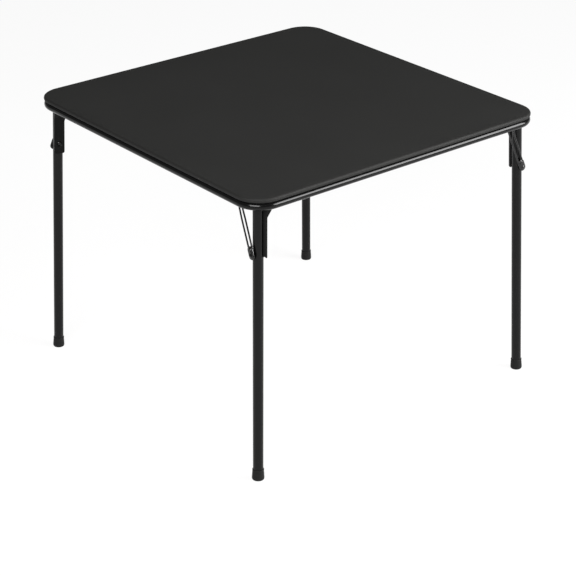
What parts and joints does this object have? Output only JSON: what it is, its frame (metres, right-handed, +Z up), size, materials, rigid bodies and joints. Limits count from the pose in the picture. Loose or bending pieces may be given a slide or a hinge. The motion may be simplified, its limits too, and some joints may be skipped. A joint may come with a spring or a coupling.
{
  "type": "folding card table",
  "caption": "Square folding card table with a padded vinyl top on a round tube rim and splayed tube legs that fold flat under it, each beside a wire brace.",
  "frame": {"origin": "on the floor under the middle of the top", "axes": "+Z up, +X to the right and +Y to the back, both along the sides of the top"},
  "size_m": [0.864, 0.864, 0.69],
  "materials": {
    "vinyl": "satin, fine grain",
    "foam": "open foam",
    "hardboard": "smooth pressed board",
    "black_steel": "satin powder coat",
    "zinc_steel": "bright zinc plate",
    "foot_rubber": "matte"
  },
  "bodies": {
    "frame": {"rim_tube": "black_steel", "hardboard_panel": "hardboard", "foam_pad": "foam", "vinyl_cover": "vinyl", "panel_clips": "zinc_steel", "clip_screws": "zinc_steel", "corner_bracket_front_left": "black_steel", "pivot_rivet_front_left": "black_steel", "brace_pin_front_left": "black_steel", "keeper_wire_front_left": "black_steel", "corner_bracket_front_right": "black_steel", "pivot_rivet_front_right": "black_steel", "brace_pin_front_right": "black_steel", "keeper_wire_front_right": "black_steel", "corner_bracket_back_right": "black_steel", "pivot_rivet_back_right": "black_steel", "brace_pin_back_right": "black_steel", "keeper_wire_back_right": "black_steel", "corner_bracket_back_left": "black_steel", "pivot_rivet_back_left": "black_steel", "brace_pin_back_left": "black_steel", "keeper_wire_back_left": "black_steel"},
    "leg_front_left": {"leg_tube_front_left": "black_steel", "foot_cap_front_left": "foot_rubber", "leg_strap_front_left": "black_steel", "leg_rivet_front_left": "zinc_steel"},
    "brace_front_left": {"brace_wire_front_left": "black_steel", "brace_lug_front_left": "black_steel", "brace_rivet_front_left": "black_steel"},
    "leg_front_right": {"leg_tube_front_right": "black_steel", "foot_cap_front_right": "foot_rubber", "leg_strap_front_right": "black_steel", "leg_rivet_front_right": "zinc_steel"},
    "brace_front_right": {"brace_wire_front_right": "black_steel", "brace_lug_front_right": "black_steel", "brace_rivet_front_right": "black_steel"},
    "leg_back_right": {"leg_tube_back_right": "black_steel", "foot_cap_back_right": "foot_rubber", "leg_strap_back_right": "black_steel", "leg_rivet_back_right": "zinc_steel"},
    "brace_back_right": {"brace_wire_back_right": "black_steel", "brace_lug_back_right": "black_steel", "brace_rivet_back_right": "black_steel"},
    "leg_back_left": {"leg_tube_back_left": "black_steel", "foot_cap_back_left": "foot_rubber", "leg_strap_back_left": "black_steel", "leg_rivet_back_left": "zinc_steel"},
    "brace_back_left": {"brace_wire_back_left": "black_steel", "brace_lug_back_left": "black_steel", "brace_rivet_back_left": "black_steel"}
  },
  "joints": [
    {"name": "leg_fold_front_left", "type": "hinge", "parent": "frame", "child": "leg_front_left", "pos_m": [-0.391, -0.392, 0.664], "axis": [0.956, -0.2923, -0.0254], "range_deg": [0, 92.61]},
    {"name": "brace_swing_front_left", "type": "hinge", "parent": "frame", "child": "brace_front_left", "pos_m": [-0.4086, -0.347, 0.6694], "axis": [0.9854, -0.1649, 0.0413], "range_deg": [0, 112.81]},
    {"name": "leg_fold_front_right", "type": "hinge", "parent": "frame", "child": "leg_front_right", "pos_m": [0.392, -0.391, 0.664], "axis": [0.2923, 0.956, -0.0254], "range_deg": [0, 92.61]},
    {"name": "brace_swing_front_right", "type": "hinge", "parent": "frame", "child": "brace_front_right", "pos_m": [0.347, -0.4086, 0.6694], "axis": [0.1649, 0.9854, 0.0413], "range_deg": [0, 112.81]},
    {"name": "leg_fold_back_right", "type": "hinge", "parent": "frame", "child": "leg_back_right", "pos_m": [0.391, 0.392, 0.664], "axis": [-0.956, 0.2923, -0.0254], "range_deg": [0, 92.61]},
    {"name": "brace_swing_back_right", "type": "hinge", "parent": "frame", "child": "brace_back_right", "pos_m": [0.4086, 0.347, 0.6694], "axis": [-0.9854, 0.1649, 0.0413], "range_deg": [0, 112.81]},
    {"name": "leg_fold_back_left", "type": "hinge", "parent": "frame", "child": "leg_back_left", "pos_m": [-0.392, 0.391, 0.664], "axis": [-0.2923, -0.956, -0.0254], "range_deg": [0, 92.61]},
    {"name": "brace_swing_back_left", "type": "hinge", "parent": "frame", "child": "brace_back_left", "pos_m": [-0.347, 0.4086, 0.6694], "axis": [-0.1649, -0.9854, 0.0413], "range_deg": [0, 112.81]}
  ],
  "couplings": [
    {"joint": "brace_swing_front_left", "follows": "leg_fold_front_left", "ratio": 1.2181},
    {"joint": "brace_swing_front_right", "follows": "leg_fold_front_right", "ratio": 1.2181},
    {"joint": "brace_swing_back_right", "follows": "leg_fold_back_right", "ratio": 1.2181},
    {"joint": "brace_swing_back_left", "follows": "leg_fold_back_left", "ratio": 1.2181}
  ]
}
